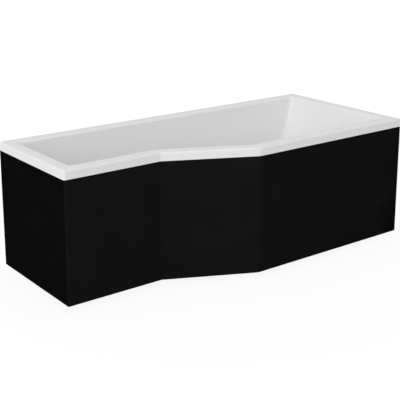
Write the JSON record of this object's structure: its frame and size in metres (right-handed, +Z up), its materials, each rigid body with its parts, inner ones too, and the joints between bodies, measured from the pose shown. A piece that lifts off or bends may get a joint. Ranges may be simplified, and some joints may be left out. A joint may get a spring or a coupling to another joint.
{
  "type": "asymmetric panelled bathtub",
  "caption": "White asymmetric bathtub, wide at one end, with a flat rim, black front and end panels, a turning overflow knob that lifts the plug, and levelling feet.",
  "frame": {"origin": "on the floor, at the middle of the bath's length and width", "axes": "+X from the narrow foot end to the wide head end, +Y to the wall behind, +Z up"},
  "size_m": [1.7, 0.75, 0.56],
  "materials": {
    "acrylic": "white acrylic sheet, glossy",
    "glass_fibre": "chopped glass fibre in resin, rough",
    "chipboard": "raw chipboard",
    "timber": "planed softwood",
    "panel_black": "black acrylic sheet, satin gloss",
    "zinc_steel": "zinc-plated steel",
    "chrome": "polished chrome plate",
    "brass": "turned brass",
    "seal_rubber": "black rubber",
    "white_plastic": "white moulded plastic",
    "black_plastic": "black moulded plastic",
    "hose_plastic": "grey-white ribbed plastic",
    "cable_jacket": "black plastic cable jacket"
  },
  "bodies": {
    "bath": {"back_batten": "timber", "base_board": "chipboard", "bath_shell": "acrylic", "control_cable": "cable_jacket", "corner_strip": "black_plastic", "end_panel": "panel_black", "fibreglass_backing": "glass_fibre", "flange_seal": "seal_rubber", "flare_batten": "timber", "foot_end_batten": "timber", "foot_end_rail": "zinc_steel", "front_panel": "panel_black", "head_end_batten": "timber", "head_end_rail": "zinc_steel", "hose_nuts": "black_plastic", "leg_nuts": "zinc_steel", "narrow_front_batten": "timber", "outlet_nut": "white_plastic", "outlet_pipe": "white_plastic", "overflow_body": "black_plastic", "overflow_elbow": "black_plastic", "overflow_faceplate": "chrome", "overflow_gasket": "seal_rubber", "overflow_hose": "hose_plastic", "overflow_screws": "zinc_steel", "panel_clip_screws": "zinc_steel", "panel_clips": "zinc_steel", "panel_stays": "zinc_steel", "rail_screws": "zinc_steel", "stay_bolts": "zinc_steel", "trap_body": "white_plastic", "trap_cap": "white_plastic", "trap_nut": "white_plastic", "wall_brackets": "zinc_steel", "waste_body": "white_plastic", "waste_flange": "chrome", "waste_gasket": "seal_rubber", "wide_front_batten": "timber"},
    "knob": {"overflow_knob": "chrome", "knob_spindle": "brass", "cable_crank": "black_plastic"},
    "plug": {"plug_cap": "chrome", "plug_seal": "seal_rubber", "plug_stem": "brass", "lift_carrier": "white_plastic"},
    "foot_end_front_foot": {"foot_end_front_rod": "zinc_steel", "foot_end_front_pad": "black_plastic"},
    "foot_end_back_foot": {"foot_end_back_rod": "zinc_steel", "foot_end_back_pad": "black_plastic"},
    "head_end_front_foot": {"head_end_front_rod": "zinc_steel", "head_end_front_pad": "black_plastic"},
    "head_end_back_foot": {"head_end_back_rod": "zinc_steel", "head_end_back_pad": "black_plastic"}
  },
  "joints": [
    {"name": "knob_turn", "type": "hinge", "parent": "bath", "child": "knob", "pos_m": [-0.77406, 0.0925, 0.47], "axis": [0.9848, 0, 0.1736], "range_deg": [0, 120]},
    {"name": "plug_lift", "type": "slide", "parent": "bath", "child": "plug", "axis": [0, 0, 1], "range_m": [0, 0.012]},
    {"name": "foot_end_front_level", "type": "slide", "parent": "bath", "child": "foot_end_front_foot", "axis": [0, 0, -1], "range_m": [-0.02, 0.025]},
    {"name": "foot_end_back_level", "type": "slide", "parent": "bath", "child": "foot_end_back_foot", "axis": [0, 0, -1], "range_m": [-0.02, 0.025]},
    {"name": "head_end_front_level", "type": "slide", "parent": "bath", "child": "head_end_front_foot", "axis": [0, 0, -1], "range_m": [-0.02, 0.025]},
    {"name": "head_end_back_level", "type": "slide", "parent": "bath", "child": "head_end_back_foot", "axis": [0, 0, -1], "range_m": [-0.02, 0.025]}
  ],
  "couplings": [
    {"joint": "plug_lift", "follows": "knob_turn", "m_per_rad": 0.005729}
  ]
}
